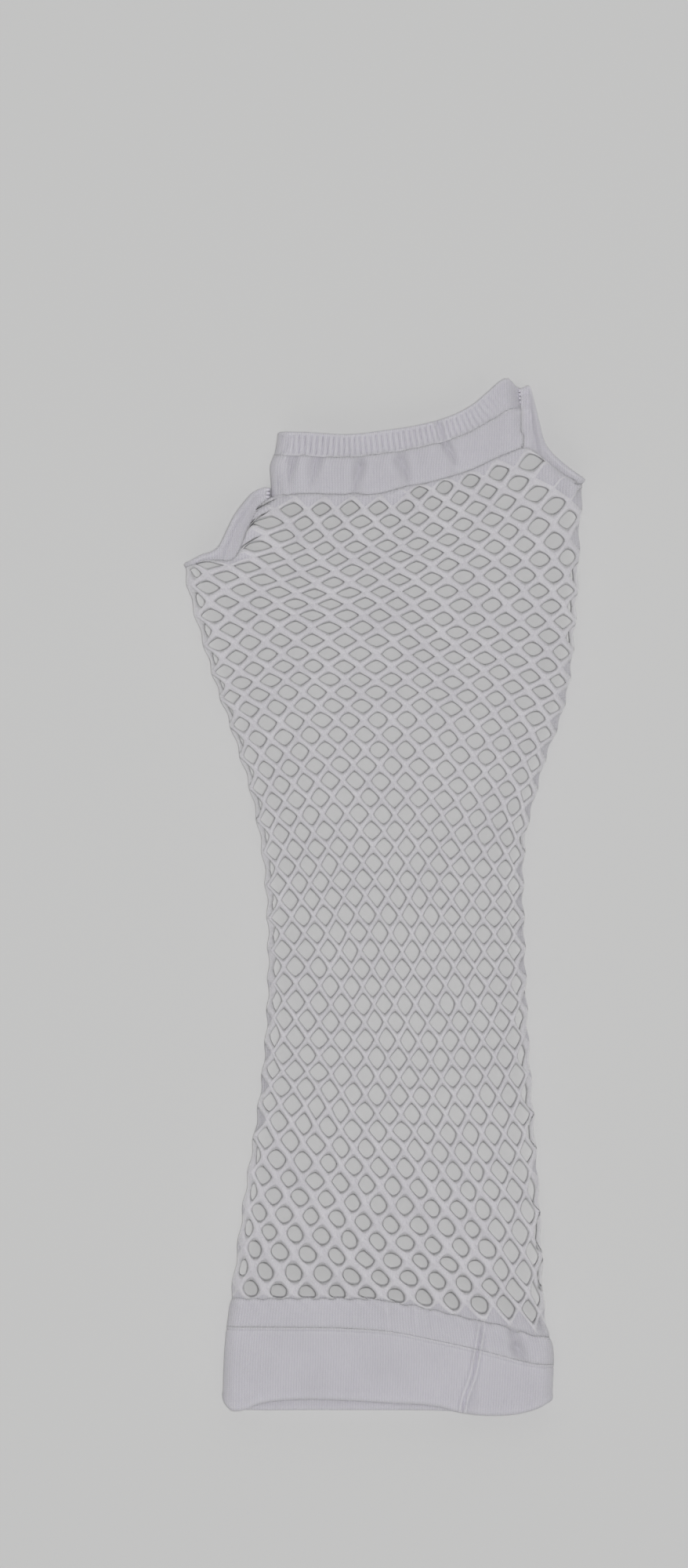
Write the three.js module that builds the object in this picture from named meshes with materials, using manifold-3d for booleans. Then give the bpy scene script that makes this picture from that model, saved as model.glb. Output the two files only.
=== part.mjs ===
// A fingerless net glove of forearm length, lying flat on its back layer.
// Millimetres. +Y runs from the forearm to the fingers, +X to the little finger's side, +Z up.
// The origin is under the middle of the glove, on the surface that it lies on.

import * as THREE from 'three';
import { mergeVertices } from 'three/addons/utils/BufferGeometryUtils.js';
import Module from 'manifold-3d';

const wasm = await Module();
wasm.setup();

// Driving dimensions
const HALF_WIDTH = 60;
const HALF_LENGTH = 155.5;
const PIECE_GAP = 0.3;
const NET_WALL = 1.6;
const PLAIN_WALL = 1.5;
const WELT_WALL = 2.2;
const RIB_WALL = 2.0;
const RIB_GROOVE = 0.5;
const RIB_PITCH = 1.75;
const CROWN = 0.4;
const REACH = 70;
const TRIM_LOW = -5;
const TRIM_HIGH = 25;

// The tube of forearm, wrist and palm: its two folded sides and its height along the length
const PALM_SECTIONS = [
  { y: -156, left: -48.4, right: 50.2, top: 9.8 },
  { y: -144, left: -48.2, right: 50.9, top: 9.6 },
  { y: -137, left: -47.9, right: 51.0, top: 9.6 },
  { y: -130, left: -47.3, right: 49.6, top: 9.6 },
  { y: -125, left: -46.6, right: 48.3, top: 9.5 },
  { y: -107, left: -44.2, right: 47.5, top: 9.4 },
  { y: -88, left: -41.6, right: 46.6, top: 9.3 },
  { y: -69, left: -38.6, right: 45.2, top: 9.2 },
  { y: -51, left: -36.3, right: 44.0, top: 9.2 },
  { y: -33, left: -35.0, right: 43.0, top: 9.2 },
  { y: -13, left: -34.8, right: 42.3, top: 9.2 },
  { y: 6, left: -35.7, right: 41.9, top: 9.2 },
  { y: 20, left: -37.6, right: 43.0, top: 9.2 },
  { y: 32, left: -40.1, right: 46.0, top: 9.3 },
  { y: 42, left: -43.1, right: 48.8, top: 9.4 },
  { y: 52, left: -46.3, right: 52.6, top: 9.5 },
  { y: 62, left: -49.9, right: 55.3, top: 9.6 },
  { y: 74, left: -53.6, right: 56.9, top: 9.6 },
  { y: 90, left: -58.2, right: 58.1, top: 9.6 },
  { y: 100.5, left: -HALF_WIDTH, right: 58.6, top: 9.6 },
  { y: 112, left: -HALF_WIDTH, right: 59.0, top: 9.5 },
  { y: 126, left: -HALF_WIDTH, right: HALF_WIDTH, top: 9.4 },
  { y: 156, left: -HALF_WIDTH, right: HALF_WIDTH, top: 9.2 },
];

// The narrower tube round the three middle fingers
const FINGER_SECTIONS = [
  { y: 112, left: -34.2, right: 40.6, top: 9.5 },
  { y: 123, left: -33.9, right: 40.6, top: 9.4 },
  { y: 129, left: -34.0, right: 40.6, top: 9.4 },
  { y: 134, left: -32.6, right: 40.6, top: 9.3 },
  { y: 140, left: -31.8, right: 40.6, top: 9.3 },
  { y: 156, left: -31.6, right: 39.6, top: 9.2 },
];

// Edges and seams seen from above, each from the thumb's side to the little finger's side
const CUFF_FRONT_EDGE = [
  { x: -REACH, y: -150.4 },
  { x: -48.5, y: -150.6 },
  { x: -47.6, y: -152.6 },
  { x: -45.5, y: -154.2 },
  { x: -41.5, y: -153.8 },
  { x: -37.1, y: -152.1 },
  { x: -32, y: -151.2 },
  { x: -22, y: -150.7 },
  { x: -10, y: -151.1 },
  { x: 2, y: -151.8 },
  { x: 12, y: -152.3 },
  { x: 17.5, y: -153.1 },
  { x: 23, y: -154.6 },
  { x: 30, y: -HALF_LENGTH },
  { x: 37, y: -HALF_LENGTH },
  { x: 42.2, y: -154.8 },
  { x: 47.3, y: -153.3 },
  { x: 50.4, y: -151.8 },
  { x: REACH, y: -151 },
];
const CUFF_BACK_EDGE = [
  { x: -REACH, y: -150.4 },
  { x: -48.5, y: -150.6 },
  { x: -47.6, y: -152.6 },
  { x: -45.5, y: -154.2 },
  { x: -20, y: -154.8 },
  { x: 17.5, y: -154.6 },
  { x: 30, y: -HALF_LENGTH },
  { x: 37, y: -HALF_LENGTH },
  { x: 42.2, y: -154.8 },
  { x: 47.3, y: -153.3 },
  { x: 50.4, y: -151.8 },
  { x: REACH, y: -151 },
];
const WELT_SEAM = [
  { x: -REACH, y: -128.9 },
  { x: -33, y: -129 },
  { x: -14, y: -129.2 },
  { x: 2, y: -130.3 },
  { x: 12, y: -132.2 },
  { x: 27, y: -135.5 },
  { x: 44, y: -139.8 },
  { x: REACH, y: -140.4 },
];
const NET_LOWER_EDGE = [
  { x: -REACH, y: -120.2 },
  { x: -4.5, y: -120.4 },
  { x: 4.4, y: -121.7 },
  { x: 13.5, y: -123.2 },
  { x: 22, y: -125.2 },
  { x: 30.6, y: -127.2 },
  { x: 38, y: -128.8 },
  { x: 45.6, y: -131.2 },
  { x: REACH, y: -131.6 },
];
const NET_UPPER_EDGE = [
  { x: -REACH, y: 98.4 },
  { x: -54, y: 100.8 },
  { x: -49.4, y: 100.6 },
  { x: -44.7, y: 100.9 },
  { x: -41.9, y: 104.4 },
  { x: -39.5, y: 110.5 },
  { x: -36.8, y: 116 },
  { x: -34, y: 118.5 },
  { x: -26.8, y: 120.2 },
  { x: -2.8, y: 120.4 },
  { x: 5.6, y: 122.6 },
  { x: 13.4, y: 124.2 },
  { x: 25.9, y: 127.9 },
  { x: 35.3, y: 132.2 },
  { x: 42, y: 134.6 },
  { x: 44.5, y: 134.2 },
  { x: 49.4, y: 129.8 },
  { x: 54.1, y: 126.1 },
  { x: REACH, y: 121 },
];
const THUMB_EDGE = [
  { x: -REACH, y: 99.9 },
  { x: -60, y: 100.4 },
  { x: -54.3, y: 102.8 },
  { x: -51.5, y: 103.7 },
  { x: -49.4, y: 105.4 },
  { x: -47.3, y: 109.8 },
  { x: -45.2, y: 114.1 },
  { x: -42.3, y: 118.1 },
  { x: -39.7, y: 121.1 },
  { x: -38.3, y: 121.6 },
  { x: -30, y: 121.6 },
];
const BAND_LOWER_EDGE = [
  { x: -REACH, y: 133 },
  { x: -24.7, y: 132.6 },
  { x: -11.1, y: 132 },
  { x: 2.4, y: 133.5 },
  { x: 11.8, y: 135.2 },
  { x: 19.8, y: 137.3 },
  { x: 26.3, y: 139.8 },
  { x: 33, y: 143.5 },
  { x: 38, y: 146.2 },
  { x: REACH, y: 148 },
];
const BAND_UPPER_EDGE = [
  { x: -REACH, y: 139.9 },
  { x: -24.7, y: 139.5 },
  { x: -11.1, y: 138.8 },
  { x: 2.4, y: 140.3 },
  { x: 11.8, y: 141.9 },
  { x: 19.8, y: 144.2 },
  { x: 26.3, y: 147.4 },
  { x: 31, y: 151.2 },
  { x: 35.6, y: 155.1 },
  { x: 38, y: HALF_LENGTH },
  { x: 40.6, y: 152.8 },
  { x: REACH, y: 152.8 },
];
const LITTLE_FINGER_EDGE = [
  { x: 41, y: 152.6 },
  { x: 43.9, y: 153.2 },
  { x: 45.3, y: 148.3 },
  { x: 46.6, y: 142.8 },
  { x: 47.9, y: 137.4 },
  { x: 49.8, y: 134.1 },
  { x: 53, y: 130.9 },
  { x: 56.3, y: 128.3 },
  { x: 61, y: 125.8 },
  { x: REACH, y: 124 },
];

// The net's rows of holes: their heights at the thumb's side, at one and two thirds of the width and
// at the little finger's side, and how far the columns lean there, in half columns
const NET_ROWS = [
  { row: 0, left: -118, third: -119.5, far: -122, right: -128.5, leanThird: 0.4, leanFar: 1.1 },
  { row: 3, left: -100, third: -103, far: -105.5, right: -108, leanThird: 0.3, leanFar: 1.0 },
  { row: 6, left: -83.5, third: -86.5, far: -88, right: -88, leanThird: 0.4, leanFar: 0.7 },
  { row: 10, left: -61.5, third: -64.5, far: -65.5, right: -64.5, leanThird: 0.3, leanFar: 0.2 },
  { row: 14, left: -41.5, third: -43, far: -43, right: -42, leanThird: 0.1, leanFar: -0.1 },
  { row: 18, left: -21, third: -21.5, far: -21.5, right: -21, leanThird: 0.5, leanFar: 0.2 },
  { row: 22, left: -1.5, third: 0, far: -0.5, right: -2, leanThird: 0.3, leanFar: 0.2 },
  { row: 26, left: 18, third: 20, far: 19.5, right: 17, leanThird: 0, leanFar: 0.2 },
  { row: 30, left: 37.5, third: 39.5, far: 38.5, right: 35, leanThird: -0.2, leanFar: 0.2 },
  { row: 34, left: 55.5, third: 57.5, far: 56.5, right: 52.5, leanThird: -0.3, leanFar: 0 },
  { row: 38, left: 71.5, third: 73, far: 72, right: 68.5, leanThird: 0, leanFar: 0.25 },
  { row: 41, left: 84.5, third: 84.5, far: 83.5, right: 82.5, leanThird: 0.4, leanFar: 0.65 },
  { row: 44, left: 97.5, third: 94.5, far: 96, right: 96.5, leanThird: 0.95, leanFar: 0.95 },
  { row: 48, left: 108.5, third: 108.5, far: 111.5, right: 120, leanThird: 1.6, leanFar: 0.8 },
  { row: 52, left: 124, third: 124.5, far: 128, right: 143, leanThird: 2.3, leanFar: 0.2 },
];
const HALF_COLUMNS = 24;

// The net is cut coarser here than it is knitted: one hole stands for about three each way
const HOLE_HALF_COLUMNS = 3;
const HOLE_HALF_ROWS = 3.06;
const HOLE_FIRST_ROW = 1.9;
const HOLE_ROW_COUNT = 17;
const HOLE_SHARE = 0.66;
const NET_MARGIN = 2.5;

// Where front and back are stitched together, the tube is pressed down
const PINCHES = [
  { x: -35.6, y: 121.5, reachX: 4.5, reachY: 6, share: 0.35 },
  { x: 41.6, y: 152, reachX: 3.2, reachY: 6.5, share: 0.42 },
  { x: 42.2, y: 143, reachX: 3.0, reachY: 5, share: 0.22 },
];

// Dents and gathers in the front layer: a line from one end to the other, its width and depth
const DENTS = [
  { x1: 38.8, y1: -130, x2: 42.2, y2: -139, width: 2.6, depth: 1.7 },
  { x1: -27.4, y1: 131, x2: -28.4, y2: 125, width: 1.7, depth: 0.9 },
  { x1: -20, y1: 131.5, x2: -21.6, y2: 124, width: 1.8, depth: 1.1 },
  { x1: -7.1, y1: 129.5, x2: -8.8, y2: 122, width: 1.6, depth: 0.9 },
  { x1: 5.1, y1: 131.5, x2: 7.1, y2: 125, width: 2.0, depth: 1.1 },
  { x1: 16.6, y1: 141, x2: 21.2, y2: 130, width: 1.8, depth: 1.1 },
];

// The raised seam that closes the welt into a ring
const WELT_SEAM_CORD = [
  { x: 29.2, y: -136.8 },
  { x: 27.6, y: -141 },
  { x: 25.8, y: -147 },
  { x: 23.9, y: -153.6 },
];
const CORD_WIDTH = 2;
const CORD_RISE = 0.45;

// Short bundles of stitches that close the tube between the openings
const THUMB_TACK = { xStart: -36.4, xEnd: -34.5, yStart: 118.4, yEnd: 122.6, low: 0.4, high: 5.2 };
const FINGER_TACK = { xStart: 40.7, xEnd: 41.7, yStart: 148.6, yEnd: 152.2, low: 0.4, high: 4.6 };
const TACK_BEVEL = 0.25;

// The stretch of tube that each piece is trimmed from, and how finely its wall is divided
const NET_TUBE = { from: -134, to: 137, steps: 17, front: 8, back: 6 };
const CUFF_BORDER = { from: -142, to: -118, steps: 5, front: 20, back: 6 };
const FOREARM_CUFF = { from: -157, to: -127, steps: 6, front: 20, back: 6 };
const THUMB_BAND = { from: 96, to: 126, steps: 8, front: 24, back: 6 };
const FINGER_BORDER = { from: 114, to: 150, steps: 7, front: 34, back: 6 };
const LITTLE_BAND = { from: 118, to: 155, steps: 8, front: 34, back: 6 };

// The gathered border reaches a little past the ribbed band, to where the little finger's edge starts
const FINGER_BORDER_START = -36;
const FINGER_BORDER_END = FINGER_SECTIONS[0].right + 1.4;
const FINGER_BAND_MIDDLE = 144;

// Below this height the welt is trimmed to the edge of the back layer
const WELT_SPLIT = 4.4;

// One value between two
function mix(a, b, share) {
  return a + (b - a) * share;
}

// The value of a table's column at a key, on a smooth curve through the rows
function smoothColumn(rows, key, column, at) {
  const last = rows.length - 1;
  if (at <= rows[0][key]) return rows[0][column];
  if (at >= rows[last][key]) return rows[last][column];
  let i = 0;
  while (rows[i + 1][key] < at) i += 1;
  const slopeAt = (j) => {
    const before = rows[Math.max(j - 1, 0)];
    const after = rows[Math.min(j + 1, last)];
    return (after[column] - before[column]) / (after[key] - before[key]);
  };
  const span = rows[i + 1][key] - rows[i][key];
  const t = (at - rows[i][key]) / span;
  const t2 = t * t;
  const t3 = t2 * t;
  return rows[i][column] * (2 * t3 - 3 * t2 + 1)
    + rows[i + 1][column] * (3 * t2 - 2 * t3)
    + slopeAt(i) * span * (t3 - 2 * t2 + t)
    + slopeAt(i + 1) * span * (t3 - t2);
}

// The height of an edge, seen from above, at one place across the glove
function edgeAt(edge, x) {
  let i = 0;
  while (i < edge.length - 2 && edge[i + 1].x < x) i += 1;
  const share = (x - edge[i].x) / (edge[i + 1].x - edge[i].x);
  return mix(edge[i].y, edge[i + 1].y, THREE.MathUtils.clamp(share, 0, 1));
}

// The tube's cross-section at one place along its length
function sectionAt(sections, y) {
  return {
    left: smoothColumn(sections, 'y', 'left', y),
    right: smoothColumn(sections, 'y', 'right', y),
    top: smoothColumn(sections, 'y', 'top', y),
  };
}

// How far the stitches press the tube together at a place, as a share of its height
function pinchAt(x, y) {
  let share = 0;
  for (const pinch of PINCHES) {
    const across = (x - pinch.x) / pinch.reachX;
    const along = (y - pinch.y) / pinch.reachY;
    share = Math.max(share, pinch.share * Math.exp(-across * across - along * along));
  }
  return share;
}

// How deep the front layer dips at a place
function dentAt(x, y) {
  let depth = 0;
  for (const dent of DENTS) {
    const line = new THREE.Line3(
      new THREE.Vector3(dent.x1, dent.y1, 0),
      new THREE.Vector3(dent.x2, dent.y2, 0),
    );
    const place = new THREE.Vector3(x, y, 0);
    const nearest = line.closestPointToPoint(place, true, new THREE.Vector3());
    const away = place.distanceTo(nearest) / dent.width;
    depth = Math.max(depth, dent.depth * Math.exp(-away * away));
  }
  return depth;
}

// Stations round the tube: across the front, round the right fold, across the back, round the left
// fold. "across" runs from fold to fold, "turn" is the direction in which the cloth faces.
function stationsRound(frontSteps, backSteps) {
  const foldTurns = [50, 0, -50];
  const stations = [];
  for (let i = 0; i <= frontSteps; i += 1) stations.push({ across: i / frontSteps, turn: 90 });
  for (const turn of foldTurns) stations.push({ across: 1, turn });
  for (let i = backSteps; i >= 0; i -= 1) stations.push({ across: i / backSteps, turn: -90 });
  for (const turn of foldTurns) stations.push({ across: 0, turn: 180 + turn });
  return stations;
}

// A point on a tube whose section is two flat layers joined by round folds
function tubePoint(section, station, inset, y) {
  const radius = section.top / 2;
  const turn = THREE.MathUtils.degToRad(station.turn);
  const middle = mix(section.left + radius, section.right - radius, station.across);
  const x = middle + (radius - inset) * Math.cos(turn);
  const facingUp = Math.max(0, Math.sin(turn));
  const bulge = CROWN * (1 - (2 * station.across - 1) ** 2) * facingUp;
  const flat = radius + (radius - inset) * Math.sin(turn) + bulge - dentAt(x, y) * facingUp;
  return new THREE.Vector3(x, y, flat * (1 - pinchAt(x, y)));
}

// A closed wall of cloth: outer and inner surface over the same rings, joined at both ends
function wallGeometry(outerRings, innerRings) {
  const ringCount = outerRings.length;
  const size = outerRings[0].length;
  const positions = [];
  for (const ring of [...outerRings, ...innerRings]) {
    for (const point of ring) positions.push(point.x, point.y, point.z);
  }
  const outer = (ring, i) => ring * size + (i % size);
  const inner = (ring, i) => (ringCount + ring) * size + (i % size);
  const index = [];
  const quad = (a, b, c, d) => index.push(a, b, c, a, c, d);
  for (let i = 0; i < size; i += 1) {
    for (let ring = 0; ring < ringCount - 1; ring += 1) {
      quad(outer(ring, i), outer(ring, i + 1), outer(ring + 1, i + 1), outer(ring + 1, i));
      quad(inner(ring, i), inner(ring + 1, i), inner(ring + 1, i + 1), inner(ring, i + 1));
    }
    const end = ringCount - 1;
    quad(outer(0, i), inner(0, i), inner(0, i + 1), outer(0, i + 1));
    quad(outer(end, i), outer(end, i + 1), inner(end, i + 1), inner(end, i));
  }
  const geometry = new THREE.BufferGeometry();
  geometry.setAttribute('position', new THREE.Float32BufferAttribute(positions, 3));
  geometry.setIndex(index);
  return geometry;
}

// A stretch of the tube's wall
function tubeWall(sections, stretch, wall) {
  const stations = stationsRound(stretch.front, stretch.back);
  const outerRings = [];
  const innerRings = [];
  for (let i = 0; i <= stretch.steps; i += 1) {
    const y = mix(stretch.from, stretch.to, i / stretch.steps);
    const section = sectionAt(sections, y);
    outerRings.push(stations.map((station) => tubePoint(section, station, 0, y)));
    innerRings.push(stations.map((station) => tubePoint(section, station, wall, y)));
  }
  return solidOf(wallGeometry(outerRings, innerRings));
}

// A closed geometry as a solid that can be joined and cut
function solidOf(geometry) {
  const bare = geometry.clone();
  bare.deleteAttribute('normal');
  bare.deleteAttribute('uv');
  const merged = mergeVertices(bare, 1e-5);
  const vertProperties = new Float32Array(merged.attributes.position.array);
  const triVerts = new Uint32Array(merged.index.array);
  return new wasm.Manifold(new wasm.Mesh({ numProp: 3, vertProperties, triVerts }));
}

// A solid back as a geometry to show
function geometryOf(solid) {
  const mesh = solid.getMesh();
  const geometry = new THREE.BufferGeometry();
  geometry.setAttribute('position', new THREE.BufferAttribute(mesh.vertProperties, 3));
  geometry.setIndex(new THREE.BufferAttribute(mesh.triVerts, 1));
  geometry.computeVertexNormals();
  return geometry;
}

// An upright block with the given outline, seen from above
function blockOf(outline, low, high) {
  const shape = new THREE.Shape(outline.map((point) => new THREE.Vector2(point.x, point.y)));
  const geometry = new THREE.ExtrudeGeometry(shape, { depth: high - low, bevelEnabled: false });
  geometry.translate(0, 0, low);
  return solidOf(geometry);
}

// An edge moved sideways by a distance, to its left when walked along +X
function shiftedEdge(edge, distance) {
  return edge.map((point, i) => {
    const before = edge[Math.max(i - 1, 0)];
    const after = edge[Math.min(i + 1, edge.length - 1)];
    const normal = new THREE.Vector2(before.y - after.y, after.x - before.x).normalize();
    return { x: point.x + normal.x * distance, y: point.y + normal.y * distance };
  });
}

// The block between two edges, kept clear of both by half the gap between pieces
function zoneBetween(lowerEdge, upperEdge, margin = PIECE_GAP / 2, high = TRIM_HIGH) {
  const lower = shiftedEdge(lowerEdge, margin);
  const upper = shiftedEdge(upperEdge, -margin);
  return blockOf([...lower, ...upper.reverse()], TRIM_LOW, high);
}

// The part of an edge between two places across the glove
function edgePart(edge, xStart, xEnd) {
  const inside = edge.filter((point) => point.x > xStart && point.x < xEnd);
  const start = { x: xStart, y: edgeAt(edge, xStart) };
  const end = { x: xEnd, y: edgeAt(edge, xEnd) };
  return [start, ...inside, end];
}

// Where the net's lattice lies: column in half columns from the left fold, row in half rows
function netPlace(column, row) {
  const across = column / HALF_COLUMNS;
  const curve = (left, third, far, right) => {
    const a = 3 * across;
    return left * (1 - a) * (2 - a) * (3 - a) / 6
      + third * a * (2 - a) * (3 - a) / 2
      - far * a * (1 - a) * (3 - a) / 2
      + right * a * (1 - a) * (2 - a) / 6;
  };
  const at = (name) => smoothColumn(NET_ROWS, 'row', name, row);
  const y = curve(at('left'), at('third'), at('far'), at('right'));
  const lean = curve(0, at('leanThird'), at('leanFar'), 0);
  const section = sectionAt(PALM_SECTIONS, y);
  return { x: mix(section.left, section.right, (column + lean) / HALF_COLUMNS), y };
}

// The diamond holes, cut straight down through the front and back layers
function netHoles() {
  const room = zoneBetween(NET_LOWER_EDGE, NET_UPPER_EDGE, NET_MARGIN);
  let holes = null;
  for (let i = 0; i < HOLE_ROW_COUNT; i += 1) {
    const row = HOLE_FIRST_ROW + HOLE_HALF_ROWS * i;
    const firstColumn = HOLE_HALF_COLUMNS * (i % 2 === 0 ? 1 : 2);
    for (let column = firstColumn; column < HALF_COLUMNS; column += 2 * HOLE_HALF_COLUMNS) {
      const middle = netPlace(column, row);
      const aboveEdge = middle.y > edgeAt(NET_UPPER_EDGE, middle.x) - NET_MARGIN;
      if (aboveEdge) continue;
      const reachAcross = HOLE_HALF_COLUMNS * HOLE_SHARE;
      const reachAlong = HOLE_HALF_ROWS * HOLE_SHARE;
      const outline = [
        netPlace(column - reachAcross, row),
        netPlace(column, row - reachAlong),
        netPlace(column + reachAcross, row),
        netPlace(column, row + reachAlong),
      ];
      const hole = blockOf(outline, TRIM_LOW, TRIM_HIGH);
      holes = holes === null ? hole : holes.add(hole);
    }
  }
  return holes.intersect(room);
}

// The net from the forearm border to the edges of the finger openings
function netTube() {
  const wall = tubeWall(PALM_SECTIONS, NET_TUBE, NET_WALL);
  return wall.intersect(zoneBetween(NET_LOWER_EDGE, NET_UPPER_EDGE)).subtract(netHoles());
}

// The single plain border between the net and the welt
function cuffBorder() {
  const wall = tubeWall(PALM_SECTIONS, CUFF_BORDER, PLAIN_WALL);
  return wall.intersect(zoneBetween(WELT_SEAM, NET_LOWER_EDGE));
}

// The doubled welt: its front edge arches above the back edge, and one seam closes the ring
function forearmCuff() {
  const wall = tubeWall(PALM_SECTIONS, FOREARM_CUFF, WELT_WALL);
  const front = zoneBetween(CUFF_FRONT_EDGE, WELT_SEAM);
  const back = zoneBetween(CUFF_BACK_EDGE, WELT_SEAM, PIECE_GAP / 2, WELT_SPLIT);
  const cordOutline = [
    ...WELT_SEAM_CORD.map((point) => ({ x: point.x + CORD_WIDTH / 2, y: point.y })),
    ...WELT_SEAM_CORD.map((point) => ({ x: point.x - CORD_WIDTH / 2, y: point.y })).reverse(),
  ];
  const surface = sectionAt(PALM_SECTIONS, WELT_SEAM_CORD[1].y).top;
  const cord = blockOf(cordOutline, surface - WELT_WALL / 2, surface + CORD_RISE);
  return wall.intersect(front.add(back)).add(cord);
}

// The plain edge round the thumb opening
function thumbBand() {
  const wall = tubeWall(PALM_SECTIONS, THUMB_BAND, PLAIN_WALL);
  const end = THUMB_TACK.xStart - PIECE_GAP;
  const lower = edgePart(NET_UPPER_EDGE, -REACH, end);
  const upper = edgePart(THUMB_EDGE, -REACH, end);
  return wall.intersect(zoneBetween(lower, upper));
}

// The gathered plain knit under the ribbed band, open towards the little finger
function fingerBorder() {
  const open = FINGER_SECTIONS.map((row) => ({ ...row, right: HALF_WIDTH }));
  const wall = tubeWall(open, FINGER_BORDER, PLAIN_WALL);
  const lower = edgePart(NET_UPPER_EDGE, FINGER_BORDER_START, FINGER_BORDER_END);
  const upper = edgePart(BAND_LOWER_EDGE, FINGER_BORDER_START, FINGER_BORDER_END);
  return wall.intersect(zoneBetween(lower, upper));
}

// The ribbed band round the three middle fingers: ribs are left between shallow grooves
function fingerBand() {
  const middle = sectionAt(FINGER_SECTIONS, FINGER_BAND_MIDDLE);
  const ribCount = Math.round((middle.right - middle.left - middle.top) / RIB_PITCH);
  const stations = stationsRound(ribCount * 2, ribCount * 2);
  const ringAt = (share, isInner) => stations.map((station, i) => {
    const groove = i % 2 === 1 ? RIB_GROOVE : 0;
    const inset = isInner ? RIB_WALL : groove;
    const rough = tubePoint(middle, station, inset, FINGER_BAND_MIDDLE);
    const low = edgeAt(BAND_LOWER_EDGE, rough.x) + PIECE_GAP / 2;
    const high = edgeAt(BAND_UPPER_EDGE, rough.x);
    const y = mix(low, high, share);
    return tubePoint(sectionAt(FINGER_SECTIONS, y), station, inset, y);
  });
  const ends = [0, 1];
  return solidOf(wallGeometry(
    ends.map((share) => ringAt(share, false)),
    ends.map((share) => ringAt(share, true)),
  ));
}

// The plain rolled edge round the little finger opening, from the finger tack to the outer fold
function littleFingerBand() {
  const wall = tubeWall(PALM_SECTIONS, LITTLE_BAND, PLAIN_WALL);
  const start = FINGER_BORDER_END + PIECE_GAP;
  const lower = edgePart(NET_UPPER_EDGE, start, REACH);
  const upper = edgePart(LITTLE_FINGER_EDGE, start, REACH);
  return wall.intersect(zoneBetween(lower, upper));
}

// One bundle of stitches, with softened edges
function tack(size) {
  const shape = new THREE.Shape();
  const bevel = TACK_BEVEL;
  shape.moveTo(size.xStart + bevel, size.yStart + bevel);
  shape.lineTo(size.xEnd - bevel, size.yStart + bevel);
  shape.lineTo(size.xEnd - bevel, size.yEnd - bevel);
  shape.lineTo(size.xStart + bevel, size.yEnd - bevel);
  const geometry = new THREE.ExtrudeGeometry(shape, {
    depth: size.high - size.low - 2 * bevel,
    bevelThickness: bevel,
    bevelSize: bevel,
    bevelSegments: 2,
  });
  geometry.translate(0, 0, size.low + bevel);
  return solidOf(geometry);
}

// Knitted white yarn with a slight lilac cast
const NET_YARN = new THREE.MeshStandardMaterial({ color: 0xe4e2e8, roughness: 0.85, metalness: 0 });
const PLAIN_KNIT = new THREE.MeshStandardMaterial({ color: 0xdfdde6, roughness: 0.9, metalness: 0 });
const RIB_KNIT = new THREE.MeshStandardMaterial({ color: 0xdcdae4, roughness: 0.9, metalness: 0 });
const TACK_THREAD = new THREE.MeshStandardMaterial({ color: 0xe2e0e8, roughness: 0.8, metalness: 0 });

const glove = new THREE.Group();
glove.name = 'net_glove';
const pieces = [
  { name: 'forearm_cuff', solid: forearmCuff(), material: PLAIN_KNIT },
  { name: 'cuff_border', solid: cuffBorder(), material: PLAIN_KNIT },
  { name: 'net_tube', solid: netTube(), material: NET_YARN },
  { name: 'thumb_band', solid: thumbBand(), material: PLAIN_KNIT },
  { name: 'finger_border', solid: fingerBorder(), material: PLAIN_KNIT },
  { name: 'finger_band', solid: fingerBand(), material: RIB_KNIT },
  { name: 'little_finger_band', solid: littleFingerBand(), material: PLAIN_KNIT },
  { name: 'thumb_tack', solid: tack(THUMB_TACK), material: TACK_THREAD },
  { name: 'finger_tack', solid: tack(FINGER_TACK), material: TACK_THREAD },
];
for (const piece of pieces) {
  const mesh = new THREE.Mesh(geometryOf(piece.solid), piece.material);
  mesh.name = piece.name;
  glove.add(mesh);
}

export default glove;
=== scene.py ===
# A fingerless net glove of forearm length, lying flat on its back layer on a pale surface.
# Metres. +Y runs from the forearm to the fingers, +X to the little finger's side, +Z up.
import bmesh
import bpy
import math
import numpy as np
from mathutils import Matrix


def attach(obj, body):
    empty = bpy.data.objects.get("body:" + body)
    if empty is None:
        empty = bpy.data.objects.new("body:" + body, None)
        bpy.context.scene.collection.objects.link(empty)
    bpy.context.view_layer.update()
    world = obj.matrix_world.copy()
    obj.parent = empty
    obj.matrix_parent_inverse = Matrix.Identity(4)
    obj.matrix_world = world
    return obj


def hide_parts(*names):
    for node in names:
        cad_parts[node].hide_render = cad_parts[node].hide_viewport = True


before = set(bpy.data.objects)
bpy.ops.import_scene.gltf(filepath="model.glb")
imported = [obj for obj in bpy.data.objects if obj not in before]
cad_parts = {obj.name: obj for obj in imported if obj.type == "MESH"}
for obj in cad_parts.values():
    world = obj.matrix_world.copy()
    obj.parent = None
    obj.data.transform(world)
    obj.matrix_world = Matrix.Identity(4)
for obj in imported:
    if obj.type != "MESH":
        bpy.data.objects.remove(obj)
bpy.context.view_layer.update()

# FOREARM CUFF
# The doubled welt at the forearm end: fine plain knit in white nylon with a slight lilac cast.
# It is knitted on, folded inside and caught down, and one raised seam closes it into a ring. Its front
# edge arches up between two corners, so that the inside of the back layer shows below it.

# The two folded sides and the height of the tube of forearm, wrist and palm
palm_tube = {
    "y": [-.156, -.144, -.137, -.130, -.125, -.107, -.088, -.069, -.051, -.033, -.013, .006,
          .020, .032, .042, .052, .062, .074, .090, .1005, .112, .126, .156],
    "left": [-.0484, -.0482, -.0479, -.0473, -.0466, -.0442, -.0416, -.0386, -.0363, -.0350,
             -.0348, -.0357, -.0376, -.0401, -.0431, -.0463, -.0499, -.0536, -.0582, -.0600,
             -.0600, -.0600, -.0600],
    "right": [.0502, .0509, .0510, .0496, .0483, .0475, .0466, .0452, .0440, .0430, .0423,
              .0419, .0430, .0460, .0488, .0526, .0553, .0569, .0581, .0586, .0590, .0600, .0600],
    "top": [.0098, .0096, .0096, .0096, .0095, .0094, .0093, .0092, .0092, .0092, .0092, .0092,
            .0092, .0093, .0094, .0095, .0096, .0096, .0096, .0096, .0095, .0094, .0092],
}
# how far the front rises in its middle
front_crown = .0004

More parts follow.
